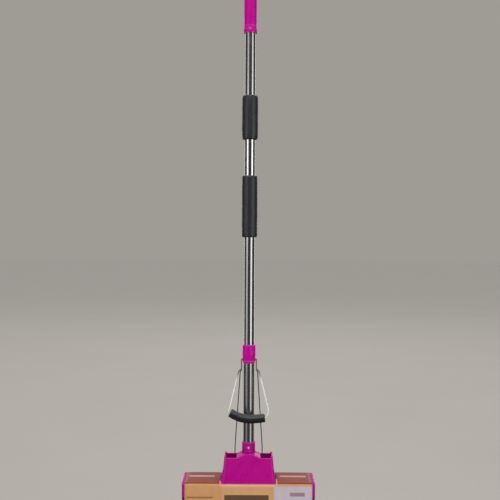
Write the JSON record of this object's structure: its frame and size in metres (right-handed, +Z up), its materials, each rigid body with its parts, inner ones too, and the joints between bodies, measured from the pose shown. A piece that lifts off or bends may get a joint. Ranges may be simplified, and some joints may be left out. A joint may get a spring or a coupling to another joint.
{
  "type": "sponge mop",
  "caption": "Upright sponge mop with a steel pole, foam grips, a pull lever and a roller wringer in a wide head wrapped in a plain card sleeve.",
  "frame": {"origin": "bottom centre of the sponge, on the floor under the pole", "axes": "+Z up along the pole, +X along the head, -Y towards the front, where the lever hangs"},
  "size_m": [0.277, 0.0768, 1.2],
  "materials": {
    "magenta_plastic": "satin moulded plastic",
    "steel_tube": "polished",
    "screw_steel": "bright plated",
    "black_foam": "fine closed-cell foam",
    "sponge": "open porous sponge",
    "channel_steel": "galvanised",
    "rod_steel": "dark plated",
    "wire_steel": "bright plated",
    "roller_plastic": "matte moulded plastic",
    "printed_card": "printed card with blank panels"
  },
  "bodies": {
    "mop": {"pole_tube": "steel_tube", "handle_grip": "magenta_plastic", "handle_screw": "screw_steel", "upper_foam_grip": "black_foam", "lower_foam_grip": "black_foam", "lever_collar": "magenta_plastic", "collar_screw": "screw_steel", "neck_screw": "screw_steel", "head_housing": "magenta_plastic", "end_plate_right": "magenta_plastic", "end_plate_left": "magenta_plastic", "end_plate_screws": "screw_steel", "card_sleeve": "printed_card", "axle_upper_front": "rod_steel", "axle_upper_rear": "rod_steel", "axle_lower_front": "rod_steel", "axle_lower_rear": "rod_steel"},
    "lever": {"lever_wire": "wire_steel", "lever_foam_grip": "black_foam"},
    "carrier": {"sponge": "sponge", "sponge_channel": "channel_steel", "channel_rivets": "channel_steel", "rod_nuts": "rod_steel", "pull_rod_right": "rod_steel", "pull_rod_left": "rod_steel"},
    "roller_upper_front_body": {"roller_upper_front": "roller_plastic"},
    "roller_upper_rear_body": {"roller_upper_rear": "roller_plastic"},
    "roller_lower_front_body": {"roller_lower_front": "roller_plastic"},
    "roller_lower_rear_body": {"roller_lower_rear": "roller_plastic"}
  },
  "joints": [
    {"name": "lever_swing", "type": "hinge", "parent": "mop", "child": "lever", "pos_m": [0, 0, 0.35], "axis": [-1, 0, 0], "range_deg": [0, 158]},
    {"name": "sponge_lift", "type": "slide", "parent": "mop", "child": "carrier", "axis": [0, 0, 1], "range_m": [0, 0.0483], "deforming": ["sponge"]},
    {"name": "roller_upper_front_spin", "type": "hinge", "parent": "mop", "child": "roller_upper_front_body", "pos_m": [0, -0.017, 0.085], "axis": [1, 0, 0], "continuous": true},
    {"name": "roller_upper_rear_spin", "type": "hinge", "parent": "mop", "child": "roller_upper_rear_body", "pos_m": [0, 0.017, 0.085], "axis": [1, 0, 0], "continuous": true},
    {"name": "roller_lower_front_spin", "type": "hinge", "parent": "mop", "child": "roller_lower_front_body", "pos_m": [0, -0.0185, 0.064], "axis": [1, 0, 0], "continuous": true},
    {"name": "roller_lower_rear_spin", "type": "hinge", "parent": "mop", "child": "roller_lower_rear_body", "pos_m": [0, 0.0185, 0.064], "axis": [1, 0, 0], "continuous": true}
  ],
  "couplings": [
    {"joint": "sponge_lift", "follows": "lever_swing", "m_per_rad": 0.017514}
  ]
}
